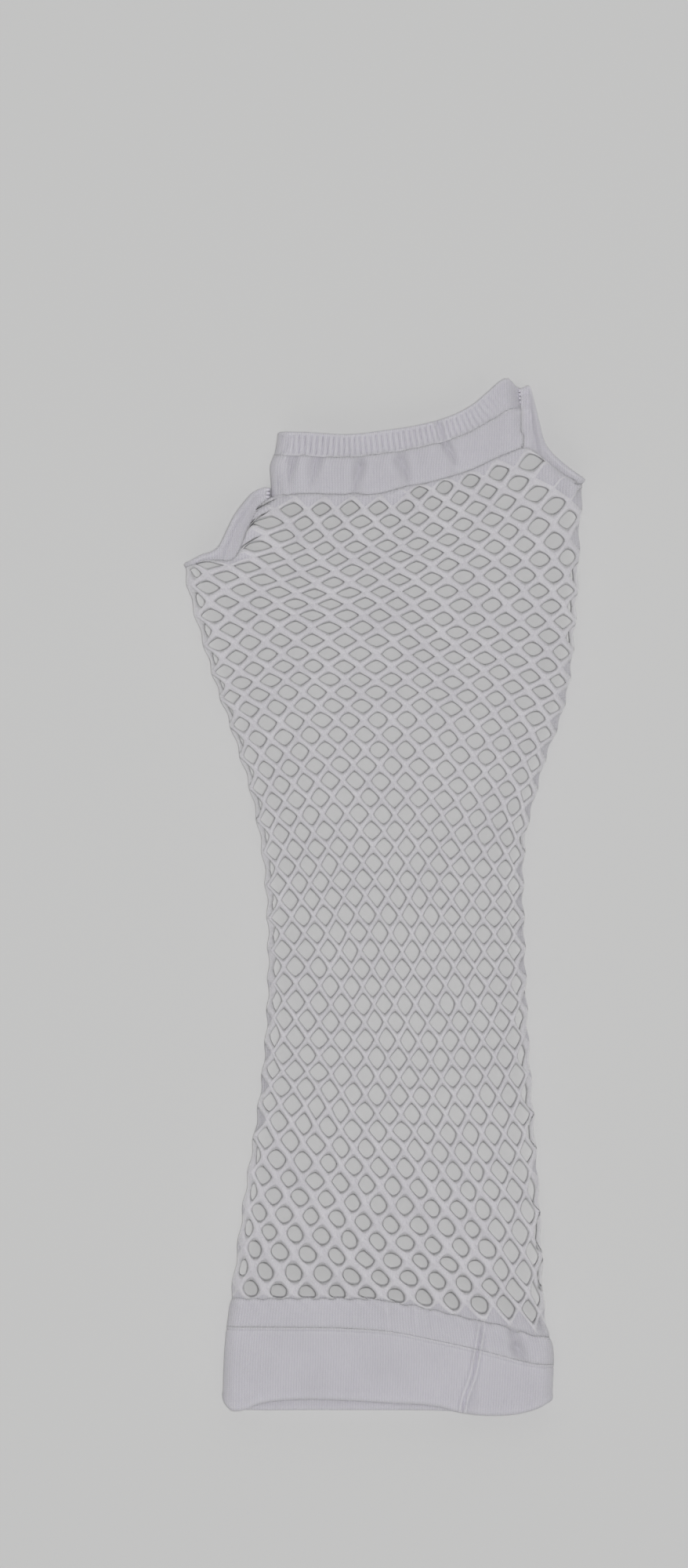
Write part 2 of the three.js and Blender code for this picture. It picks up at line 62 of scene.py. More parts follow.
# Its edges and seams as seen from above
cuff_front_edge = {
    "x": [-.0485, -.0476, -.0455, -.0415, -.0371, -.032, -.022, -.010, .002, .012, .0175, .023,
          .030, .037, .0422, .0473, .0504],
    "y": [-.1506, -.1526, -.1542, -.1538, -.1521, -.1512, -.1507, -.1511, -.1518, -.1523, -.1531,
          -.1546, -.1555, -.1555, -.1548, -.1533, -.1518],
}
cuff_back_edge = {
    "x": [-.0485, -.0476, -.0455, -.020, .0175, .030, .037, .0422, .0473, .0504],
    "y": [-.1506, -.1526, -.1542, -.1544, -.1546, -.1555, -.1555, -.1548, -.1533, -.1518],
}
welt_seam = {
    "x": [-.050, -.033, -.014, .002, .012, .027, .044, .052],
    "y": [-.1289, -.1290, -.1292, -.1303, -.1322, -.1355, -.1398, -.1404],
}

# The raised seam that closes the border and the welt, the same line in both
closing_seam = {
    "y": [-.1550, -.1541, -.1503, -.1437, -.1369, -.1284, -.1240],
    "x": [.0234, .0236, .0243, .0266, .0280, .0294, .0300],
}

# Dents in the front layer of border and welt: a line from one end to the other, its half width and
# its depth. A depth below zero is a fold that stands up.
cuff_folds = {
    "x1": [.0388, .0397, .0330, .0008, .0092, .0130],
    "y1": [-.1312, -.1352, -.1300, -.1220, -.1228, -.1240],
    "x2": [.0397, .0424, .0372, .0014, .0102, .0145],
    "y2": [-.1352, -.1388, -.1330, -.1300, -.1310, -.1315],
    "width": [.0011, .0014, .0018, .0011, .0012, .0012],
    "depth": [.0022, .0042, -.0007, -.0006, -.0006, .0004],
}
# The share of its depth that a dent loses towards its end, and the power of its sides' fall, 2 for a bell
dent_loss = .6
dent_sharpness = 1.4

# Where front and back are stitched together the tube is pressed down
pinches = {
    "x": [-.0356, .0416, .0422], "y": [.1215, .1520, .1430],
    "reach_x": [.0045, .0032, .0030], "reach_y": [.0060, .0065, .0050],
    "share": [.35, .42, .22],
}


def smooth(table, column, at, key="y"):
    """A column of a table at a key, on a smooth curve through the rows."""
    keys, values = np.array(table[key]), np.array(table[column])
    slopes = np.empty_like(values)
    slopes[1:-1] = (values[2:] - values[:-2]) / (keys[2:] - keys[:-2])
    slopes[0] = (values[1] - values[0]) / (keys[1] - keys[0])
    slopes[-1] = (values[-1] - values[-2]) / (keys[-1] - keys[-2])
    at = np.clip(at, keys[0], keys[-1])
    row = np.clip(np.searchsorted(keys, at, side="right") - 1, 0, len(keys) - 2)
    span = keys[row + 1] - keys[row]
    t = (at - keys[row]) / span
    return (values[row] * (2 * t**3 - 3 * t**2 + 1) + values[row + 1] * (3 * t**2 - 2 * t**3)
            + span * slopes[row] * (t**3 - 2 * t**2 + t) + span * slopes[row + 1] * (t**3 - t**2))


def edge_y(edge, x):
    """Where an edge lies at a place, seen from above."""
    return smooth(edge, "y", x, "x")


def slope_of(edge, x):
    """How steeply an edge runs at a place."""
    aside = .0003
    return (edge_y(edge, x + aside) - edge_y(edge, x - aside)) / (2 * aside)


def edge_along(edge, past=0.0):
    """A band's edge, the same on front and back: it follows an edge, a little above or below it."""
    return lambda x, facing: edge_y(edge, x) + past


def sides_of(sections, y):
    """The left and right side of the tube and its top at a place along it."""
    return (smooth(sections, column, y) for column in ("left", "right", "top"))


def ease(t):
    """From 0 to 1 without a corner."""
    t = np.clip(t, 0, 1)
    return t * t * (3 - 2 * t)


def ridge(away, width):
    """The section of a soft ridge or groove: 1 along its middle, and 0 far from it."""
    return np.exp(-(away / width)**2)


def dip(x, y, lines):
    """How far the front layer is pressed in at a place by a table of dents."""
    depth = np.zeros(np.broadcast(x, y).shape)
    for x1, y1, x2, y2, width, most in zip(*lines.values()):
        along = ((x - x1) * (x2 - x1) + (y - y1) * (y2 - y1)) / ((x2 - x1)**2 + (y2 - y1)**2)
        along = np.clip(along, 0, 1)
        away = np.hypot(x - x1 - along * (x2 - x1), y - y1 - along * (y2 - y1)) / width
        depth = depth + most * (1 - dent_loss * along**2) * np.exp(-away**dent_sharpness)
    return depth


def pinched(x, y):
    """How far the stitches press the tube together at a place, as a share of its height."""
    share = np.zeros(np.broadcast(x, y).shape)
    for px, py, reach_x, reach_y, most in zip(*pinches.values()):
        share = np.maximum(share, most * np.exp(-((x - px) / reach_x)**2 - ((y - py) / reach_y)**2))
    return share


def places_round(front, back, span=(0.0, 1.0), sides="both", fold=11, close=None):
    """Places round the tube: the share of the way across, and the direction that the cloth faces. They lie
    closer together over a stretch of the front that has a fine seam."""
    shares = np.linspace(span[0], span[1], front)
    if close:
        shares = np.union1d(shares, np.linspace(*close))
    flat_front = [(share, 90.0) for share in shares]
    flat_back = [(share, -90.0) for share in np.linspace(span[1], span[0], back)]
    right_fold = [(1.0, turn) for turn in np.linspace(90, -90, fold + 2)[1:-1]]
    left_fold = [(0.0, turn) for turn in np.linspace(-90, -270, fold + 2)[1:-1]]
    if sides == "both":
        return np.array(flat_front + right_fold + flat_back + left_fold)
    if sides == "right":
        return np.array(flat_front + right_fold + flat_back)
    return np.array(flat_back + left_fold + flat_front)


def cloth_points(sections, places, lower, upper, wall, rows, relief, lines, ends):
    """The surface of a knitted band, as rings round its wall: outside, upper rim, inside, lower rim."""
    rim = np.radians([30, 70, 110, 150])
    half = wall / 2
    low_end, high_end = ends
    # share along the band, distance past its end, depth below the outer face, and how far outside
    outer = [(share, 0.0, 0.0, 1.0) for share in rows]
    upper_rim = [(1.0, high_end * np.sin(a), half * (1 - np.cos(a)), max(0.0, np.cos(a))) for a in rim]
    inner = [(share, 0.0, wall, 0.0) for share in rows[::-1]]
    lower_rim = [(0.0, -low_end * np.sin(a), half * (1 + np.cos(a)), max(0.0, -np.cos(a))) for a in rim]
    loop = np.array(outer + upper_rim + inner + lower_rim)
    across, turn = places[:, 0], np.radians(places[:, 1])
    facing = np.sin(turn)

    def x_of(y, inset):
        left, right, top = sides_of(sections, y)
        middle = left + top / 2 + across * (right - left - top)
        return middle + (top / 2 - inset) * np.cos(turn)

    middle_y = (lower(np.zeros(1), 1.0) + upper(np.zeros(1), 1.0)) / 2
    x = x_of(middle_y, 0.0)
    # the edges depend on x, and x on the tube's sides at that y, so both are found in a few rounds
    for _ in range(3):
        low, high = lower(x, facing) + low_end, upper(x, facing) - high_end
        x = x_of((low + high) / 2, 0.0)
    share, past, inset, outside = (loop[:, i:i + 1] for i in range(4))
    y = low + (high - low) * share + past
    x = x_of(y, 0.0)
    # the surface that the glove lies on presses the ridges of its back flat
    raised = relief(x, y, facing, share)
    inset = inset - outside * np.where(raised > 0, raised * (1 + np.minimum(0, facing)), raised)
    x = x_of(y, inset)
    top = smooth(sections, "top", y)
    up = np.maximum(0.0, facing)
    rise = front_crown * (1 - (2 * across - 1)**2) * up
    z = top / 2 + (top / 2 - inset) * facing + rise - dip(x, y, lines) * up
    return np.stack([x, y, z * (1 - pinched(x, y))], axis=-1)


def cloth_faces(rings, places, closed):
    """Four-sided faces over the rings, with end walls where the band is open."""
    size = places if closed else places - 1
    ring, place = np.meshgrid(np.arange(rings), np.arange(size), indexing="ij")
    after, beside = (ring + 1) % rings, (place + 1) % places
    faces = np.stack([ring * places + place, ring * places + beside,
                      after * places + beside, after * places + place], axis=-1).reshape(-1, 4)
    if not closed:
        near = np.arange(rings // 2 - 1)
        far = rings - 1 - near
        start = np.stack([near, near + 1, far - 1, far], axis=-1) * places
        faces = np.concatenate([faces, start, start[:, ::-1] + places - 1])
    return faces


def knitted(name, points, faces, uvs, material, node):
    """A piece of the glove from its points and faces, riding on the glove and standing for its node."""
    mesh = bpy.data.meshes.new(name)
    mesh.from_pydata(points.reshape(-1, 3).tolist(), [], faces)
    mesh.uv_layers.new(name="cloth").data.foreach_set("uv", uvs.reshape(-1))
    mesh.polygons.foreach_set("use_smooth", np.ones(len(mesh.polygons), bool))
    mesh.materials.append(material)
    mesh.update()
    piece = bpy.data.objects.new(name, mesh)
    bpy.context.collection.objects.link(piece)
    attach(piece, "root")
    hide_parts(node)
    return piece


def band(name, node, material, sections, places, lower, upper, wall, rows, relief, lines, ends,
         closed=True):
    """A knitted band between two edges, with its cloth coordinates in metres."""
    points = cloth_points(sections, places, lower, upper, wall, rows, relief, lines, ends)
    rings, size = points.shape[:2]
    faces = cloth_faces(rings, size, closed)
    middle = points[len(rows) // 2]
    steps = np.linalg.norm(np.diff(middle, axis=0, append=middle[:1]), axis=1)
    around = np.concatenate([[0], np.cumsum(steps)])
    place = faces % size
    if closed:
        place = np.where((place == 0) & (place.max(axis=1, keepdims=True) == size - 1), size, place)
    uvs = np.stack([around[place], points[..., 1].reshape(-1)[faces]], axis=-1)
    return knitted(name, points, faces.tolist(), uvs, material, node)


# how far light wanders in the yarn
yarn_depth = .0013
# the yarn's own colour, and a darker one that random patches reach and that is painted as shade into the
# grooves between the stitches
white_knit = (.800, .784, .833)
shaded_knit = (.700, .686, .731)


def yarn_material(name, pattern, roughness, sheen, fuzz_scale, patch_scale, bump, shades, ends):
    """Soft nylon yarn that lets a little light through. Its pattern of stitches gives its height, and how
    far its colour is on the way from the first shade to the second: random patches of tone, and painted
    shade in the stitches' hollows."""
    material = bpy.data.materials.new(name)
    material.use_nodes = True
    nodes, links = material.node_tree.nodes, material.node_tree.links
    shader = nodes["Principled BSDF"]
    shader.inputs["Roughness"].default_value = roughness
    shader.inputs["Sheen Weight"].default_value = sheen
    shader.inputs["Sheen Roughness"].default_value = 0.5
    shader.inputs["Subsurface Weight"].default_value = 1.0
    shader.inputs["Subsurface Radius"].default_value = (1, 1, 1)
    shader.inputs["Subsurface Scale"].default_value = yarn_depth
    cloth = nodes.new("ShaderNodeUVMap")
    cloth.uv_map = "cloth"
    apart = nodes.new("ShaderNodeSeparateXYZ")
    links.new(cloth.outputs["UV"], apart.inputs[0])
    surface = nodes.new("ShaderNodeTexCoord")

    def noise(scale, detail):
        cloud = nodes.new("ShaderNodeTexNoise")
        cloud.inputs["Scale"].default_value = scale
        cloud.inputs["Detail"].default_value = detail
        links.new(surface.outputs["Object"], cloud.inputs["Vector"])
        return cloud.outputs["Fac"]

    def step(operation, *values):
        """One step of arithmetic, and its result."""
        reckoned = nodes.new("ShaderNodeMath")
        reckoned.operation = operation
        for socket, value in zip(reckoned.inputs, values):
            if isinstance(value, (int, float)):
                socket.default_value = value
            else:
                links.new(value, socket)
        return reckoned.outputs[0]

    fuzz = noise(fuzz_scale, 3)
    patches = noise(patch_scale, 4)
    height, patches_and_painted_shade = pattern(step, apart.outputs["X"], apart.outputs["Y"], fuzz, patches)
    relief = nodes.new("ShaderNodeBump")
    relief.inputs["Strength"].default_value = 1.0
    relief.inputs["Distance"].default_value = bump
    links.new(height, relief.inputs["Height"])
    links.new(relief.outputs["Normal"], shader.inputs["Normal"])
    # the colour runs from the first shade to the second with the random patches and with the painted shade
    # of the stitches' hollows
    tone_and_painted_shade = nodes.new("ShaderNodeValToRGB")
    for element, shade, end in zip(tone_and_painted_shade.color_ramp.elements, shades, ends):
        element.color = (*shade, 1)
        element.position = end
    links.new(patches_and_painted_shade, tone_and_painted_shade.inputs["Fac"])
    links.new(tone_and_painted_shade.outputs["Color"], shader.inputs["Base Color"])
    return material


def knit_material(name, wale=.00085, course=.0007, bump=.00009):
    """Fine plain knit: upright wales, each of two slanted rows of yarn, a little uneven, its grooves painted
    darker as shade.
    """
    leg_slant = 1.3
    yarn_share, wale_share, fuzz_share = 0.35, 0.6, 0.7
    # how far random patches move the colour, and how far the yarn's height does: painted shade darker in the
    # grooves, painted light on the raised yarn
    patch_tint, painted_groove_shade = 0.6, 0.30

    def pattern(step, around, along, fuzz, patches):
        column = step("MULTIPLY", around, 1 / wale)
        off_middle = step("ABSOLUTE", step("SUBTRACT", step("FRACT", column), 0.5))
        leg = step("ADD", step("MULTIPLY", along, 1 / course), step("MULTIPLY", off_middle, leg_slant))
        yarn = step("SINE", step("MULTIPLY", leg, 2 * math.pi))
        wales = step("COSINE", step("MULTIPLY", off_middle, 2 * math.pi))
        height = step("ADD", step("MULTIPLY", yarn, yarn_share), step("MULTIPLY", wales, wale_share))
        height = step("ADD", height, step("MULTIPLY", fuzz, fuzz_share))
        # the colour: random patches of tone, plus painted shade from the height, darker in the grooves and
        # lighter on the raised yarn
        tone_and_painted_shade = step("ADD", step("MULTIPLY", patches, patch_tint), step("MULTIPLY", height, painted_groove_shade))
        return height, tone_and_painted_shade

    return yarn_material(name, pattern, roughness=0.85, sheen=0.25, fuzz_scale=1400, patch_scale=70,
                         bump=bump, shades=(shaded_knit, white_knit), ends=(0.1, 0.7))


welt_material = knit_material("welt_knit", wale=.00078, course=.0006, bump=.00007)

welt_wall = .0022
# where two knits join, their ends run into each other, and only a shallow groove is left
butted = .0003
joined = .00015
seam_width = .00048
seam_apart = .0017
seam_height = .0009
# the valley between its two cords, as a share of their height
seam_valley = 0.7
# the stretch of the front that the seam crosses: shares of the way across, and how many points it takes
seam_stretch = (.735, .865, 130)
# the lip along the welt's free edge and the line where the inner layer is caught down: how high or deep,
# how far from the edge, and how wide
lip_height, lip_middle, lip_width = .0002, .0016, .0012
catch_depth, catch_middle, catch_width = .00022, .0011, .0003


def closing_seam_relief(x, y, facing):
    """Two fine raised cords beside each other along the closing seam, on the front."""
    from_seam = x - smooth(closing_seam, "x", y)
    cords = sum(ridge(from_seam - side * seam_apart / 2, seam_width) for side in (-1, 1))
    on_front = facing > 0.5
    return on_front * seam_height * (cords - seam_valley * ridge(from_seam, seam_width))


def cuff_lower(x, facing):
    share = (np.asarray(facing) + 1) / 2
    front, back = edge_y(cuff_front_edge, x), edge_y(cuff_back_edge, x)
    return back + (front - back) * share


cuff_upper = edge_along(welt_seam, joined)


def welt_relief(x, y, facing, share):
    from_edge = y - cuff_lower(x, facing)
    from_top = cuff_upper(x, facing) - y
    lip = lip_height * ridge(from_edge - lip_middle, lip_width)
    catch_line = -catch_depth * ridge(from_top - catch_middle, catch_width)
    return closing_seam_relief(x, y, facing) + lip + catch_line


# the rows of points lie closer together at the lip and at the caught seam
lip_end, catch_start = .12, .86
cuff_rows = np.concatenate([np.linspace(0, lip_end, 7)[:-1], np.linspace(lip_end, catch_start, 14)[:-1],
                            np.linspace(catch_start, 1, 14)])
forearm_cuff = band("forearm_cuff_welt", "forearm_cuff", welt_material, palm_tube,
                    places_round(300, 90, close=seam_stretch), cuff_lower, cuff_upper, welt_wall,
                    cuff_rows, welt_relief, cuff_folds, (welt_wall / 2, butted))

# CUFF BORDER
# The single plain-knit border between the welt and the net, thinner than the welt and of the same
# yarn. Its upper edge is scalloped where the strands of the net grow out of it.
border_wall = .0015
net_lower_edge = {
    "x": [-.048, -.0045, .0044, .0135, .022, .0306, .038, .0456, .052],
    "y": [-.1202, -.1204, -.1217, -.1232, -.1252, -.1272, -.1288, -.1312, -.1320],
}
# how deep a band's end dips where the net grows out of it, and over what width
net_dip = .00045
net_dip_width = .0009
# the border's soft waves below the net: how high, how long, how far they reach down, and how they slant
wave_height = .00015
wave_length = .0052
wave_reach = .004
wave_slant = 9 / .01
border_lower = edge_along(welt_seam, -joined)
border_upper = edge_along(net_lower_edge)
border_material = knit_material("border_knit")


def sinks_under_net(from_net):
    """The end of a band dips where the strands of the net grow out of it."""
    return -net_dip * ridge(from_net, net_dip_width)


def border_relief(x, y, facing, share):
    from_top = border_upper(x, facing) - y
    wave = wave_height * np.sin(x / wave_length * 2 * math.pi + wave_slant * y) * ridge(from_top, wave_reach)
    seam = closing_seam_relief(x, y, facing) * np.clip(from_top / wave_reach, 0, 1)
    return seam + sinks_under_net(from_top) + wave


cuff_border = band("cuff_border_knit", "cuff_border", border_material, palm_tube,
                   places_round(300, 90, close=seam_stretch), border_lower, border_upper, border_wall,
                   np.linspace(0, 1, 18), border_relief, cuff_folds, (butted, butted))

# NET
# One tube of coarse diamond net, knitted in the same white nylon, from the cuff's border to the finger
# openings. The strands are soft chains of stitches, thick near the cuff, thin at the wrist where the net
# is stretched lengthways, and broad over the palm. Front and back lie hole over hole.
half_columns = 24
net_rows = {
    "row": [-3, 0, 3, 6, 10, 14, 18, 22, 26, 30, 34, 38, 41, 44, 48, 52, 55],
    "left": [-.136, -.118, -.100, -.0835, -.0615, -.0415, -.021, -.0015, .018, .0375, .0555,
             .0715, .0845, .0975, .1085, .124, .1355],
    "third": [-.137, -.1195, -.103, -.0865, -.0645, -.043, -.0215, 0.0, .020, .0395, .0575,
              .073, .0845, .0945, .1085, .1245, .1365],
    "far": [-.1395, -.122, -.1055, -.088, -.0655, -.043, -.0215, -.0005, .0195, .0385, .0565,
            .072, .0835, .096, .1115, .128, .1405],
    "right": [-.148, -.1285, -.108, -.088, -.0645, -.042, -.021, -.002, .017, .035, .0525,
              .0685, .0825, .0965, .120, .143, .160],
    # how far the columns lean towards the little finger's side, in half columns
    "lean_left": [1.35, 1.4, 1.4, 1.25, .7, .6, .3, .1, 0, -.1, -.15, -.15, 0, .2, .2, .2, .2],
    "lean_third": [2.6, 2.4, 1.9, 1.9, 1.4, 1.05, .72, .3, 0, -.2, -.25, .05, .45, .95, 1.6, 2.3, 2.6],
    "lean_far": [3.3, 3.1, 2.6, 2.25, 1.35, .85, .4, .25, .3, .25, 0, .25, .65, .95, .9, .2, 0],
    "lean_right": [2.0, 2.0, 1.8, 1.4, .8, .65, .37, .2, .28, .34, .3, .3, .15, .2, .4, .4, .4],
    # how far a hole reaches towards its four knots, and half the width of a strand
    "hole_across": [.58, .58, .60, .64, .74, .76, .76, .76, .74, .71, .69, .68, .68, .68, .68, .66, .66],
    "hole_along": [.42, .42, .44, .50, .58, .60, .60, .60, .58, .55, .51, .48, .465, .465, .48, .48, .48],
    "strand": [.0009, .0009, .0009, .00085, .00068, .00065, .00065, .00066, .00070, .00078, .00086,
               .00095, .0010, .0010, .0010, .00105, .00105],
}
net_upper_edge = {
    "x": [-.062, -.054, -.0494, -.0450, -.0427, -.0407, -.0382, -.0345, -.0268, -.0028, .0056,
          .0134, .0259, .0353, .042, .0445, .0494, .0541, .062],
    "y": [.0984, .1008, .1006, .1012, .1048, .1105, .116, .1190, .1204, .1206, .1226, .1242,
          .1279, .1322, .1346, .1342, .1298, .1261, .1225],
}
net_thickness = .0013
net_points_round_a_hole = 20
# at a band the net is pressed together over the hem's start, and runs in under it by the hem's depth
hem_start = .0015
hem_depth = .0008
# it is flattened over this length, to twice this share of its thickness, and lies this much deeper under
# the band's end and past the hem
flattens_over = .0009
flattened_half = .4
under_band = .00022
past_hem = .0002
# how much strand lies between two knots, in the cloth's own coordinates
strand_stitches = .0062
# along both folds the strands that turn to the back lie close and make a soft scalloped edge
edge_strand = .0008
edge_scallop = .00035
edge_scallop_reach = .003
# and on the fold itself the net has twice this share of its thickness
edge_half = .42
# the stitches between thumb and fingers draw the columns over: how far, about which place and how wide, as
# shares of the way across, from which row on, and over how many rows
drawn_over, drawn_place, drawn_width, drawn_row, drawn_rows = .035, .19, .13, 42.5, 7
# how unevenly the yarn lies across and along, and how much more so where it is slack
uneven_across, uneven_along = .0016, .00016
slack_across, slack_along = .0025, .00025
# from which row on, and over how many, the net changes from cuff to wrist and from wrist to palm
wrist_row, wrist_rows = 5, 7
palm_row, palm_rows = 22, 10


def near_cuff(row):
    """From 1 near the cuff, where the net is slack and thick, to 0 at the wrist."""
    return 1 - ease((row - wrist_row) / wrist_rows)


def lattice_place(column, row):
    """Where the front's lattice lies, spread out flat: the share of the way across, and y."""
    a = 3 * column / half_columns

    def curve(left, third, far, right):
        return (left * (1 - a) * (2 - a) * (3 - a) / 6 + third * a * (2 - a) * (3 - a) / 2
                - far * a * (1 - a) * (3 - a) / 2 + right * a * (1 - a) * (2 - a) / 6)

    columns = ("left", "third", "far", "right")
    y = curve(*(smooth(net_rows, name, row, "row") for name in columns))
    lean = curve(*(smooth(net_rows, "lean_" + name, row, "row") for name in columns))
    across = (column + lean) / half_columns
    drawn = ridge(across - drawn_place, drawn_width) * ease((row - drawn_row) / drawn_rows)
    across = across + drawn_over * drawn
    # the yarn wanders in waves of different lengths, which never fall into step
    x = .1 * across
    across = across + uneven_across * (np.sin(x / .0071 + y / .0113) + np.sin(y / .0053 - x / .0197))
    y = y + uneven_along * (np.sin(y / .0067 - x / .0091) + np.sin(x / .0047 + y / .0231))
    slack = near_cuff(row)
    across = across + slack_across * slack * np.sin(x / .0033 - y / .0041) * np.sin(x / .0057 + y / .0083)
    y = y + slack_along * slack * np.sin(x / .0031 + y / .0047) * np.sin(x / .0071 - y / .0059)
    return across, y


def tucked(across, y):
    """Where the net runs in under a band: its y when pressed together, how flat it is pressed, and how far
    it lies in under the band's end."""
    left, right, _ = sides_of(palm_tube, y)
    x = left + across * (right - left)
    room = hem_start + hem_depth
    under, hidden = np.zeros(np.shape(y)), np.zeros(np.shape(y))
    for edge, way in ((net_upper_edge, 1), (net_lower_edge, -1)):
        steep = np.hypot(1, slope_of(edge, x))
        line = edge_y(edge, x)
        past = np.maximum(0, way * (y - line) / steep + hem_start)
        pressed = room * (1 - np.exp(-past / room))
        y = np.where(past > 0, line + way * steep * (pressed - hem_start), y)
        under = np.maximum(under, ease((pressed - hem_start + flattens_over) / flattens_over))
        hidden = np.maximum(hidden, ease((pressed - hem_start) / hem_depth))
    return y, under, hidden


def on_tube(across, y, height, side):
    """A point of the net on the front (side 1) or back (side -1), at a height from the net's own middle."""
    y, under, hidden = tucked(across, y)
    left, right, top = sides_of(palm_tube, y)
    radius = top / 2
    from_left, from_right = across * (right - left), (1 - across) * (right - left)
    from_fold = np.clip(np.minimum(from_left, from_right), 0, radius)
    turn = np.arccos(1 - from_fold / radius)
    out = np.cos(turn) * np.where(from_left < from_right, -1, 1)
    facing = np.sin(turn) * side
    # the back's knots are pressed flat by the surface that they lie on
    height = height if side > 0 else np.minimum(height, net_thickness / 2)
    # and under a band the net is pressed into an even layer
    height = height + under * (np.sign(height) * net_thickness * flattened_half - height)
    reach = radius - net_thickness / 2 + height - under_band * under - past_hem * hidden
    flat_x = np.clip(left + from_left, left + radius, right - radius)
    for fold, from_this, way in (("left", from_left, -1), ("right", from_right, 1)):
        row = np.interp(y, net_rows[fold], net_rows["row"])
        lean = smooth(net_rows, "lean_" + fold, row, "row")
        pull = edge_scallop * np.cos(math.pi * (row - lean)) * ridge(from_this, edge_scallop_reach)
        flat_x = flat_x - way * pull * (1 - under)
    rise = front_crown * (1 - (2 * across - 1)**2) * np.maximum(facing, 0)
    x, z = flat_x + reach * out, radius + reach * facing + rise
    return np.stack([x, y, z * (1 - pinched(x, y))], axis=-1)


# rows and half columns that may hold a cell. A cell is knitted where one of its corners lies between the
# bands: an upper or lower one up to this far past them, a side corner this far inside them
net_row_range = range(-2, 55)
net_column_range = range(-6, 31)
tip_beyond = .0004
side_inside = .0012
# and where it lies no further past a fold than this share of the way across
past_folds = .09
# beside the right fold near the cuff the net is pulled into taller, thinner diamonds of this size: from
# which share of the way across on, over what share it changes, up to which row, and over how many
pulled_hole = {"hole_across": .74, "hole_along": .62, "strand": .00066}
pulled_place, pulled_change, pulled_row, pulled_rows = .78, .12, 8, 6
# a hole is knitted closed where the band above leaves less than this free, or more than that beside the
# stitches at the thumb, where less than this share of it shows above the cuff, and past a fold
closed_above = -.0005
thumb_stitches, thumb_reach, closed_by_thumb = -.0375, .005, .0015
seen_least = .6
closed_past_fold = .25 / half_columns
# its faces then reach this far in from the middle of the strands, and lids of plain knit fill the rest
closed_reach = .5
lid_height = .7
# how far holes and strands differ from each other, how much broader than the rest the strands are that
# fall to the right near the cuff, and how far a hole's outline wanders, twice and three times round it
yarn_seed = 7
uneven_hole, uneven_strand, broader_strand = .035, .06, .16
wobble_2, wobble_3 = .03, .025
# how far the strands that fall to the right lie over the others, and how plump the knots near the cuff are
strand_over = .0002
knot_plump = .00025
# beside a fold they lie level, and a rim is moved away from the fold only in a cell this near to it
level_by_fold, level_change = .003, .004
by_fold = .12
# a strand's shoulder beside a soft and a crisp rim: its share of the way from middle to rim, and its
# height as a share of half the thickness, and then the height of the rim itself
soft_shoulder, crisp_shoulder = .50, .84
soft_height, crisp_height = .68, .93
rim_height = -.1


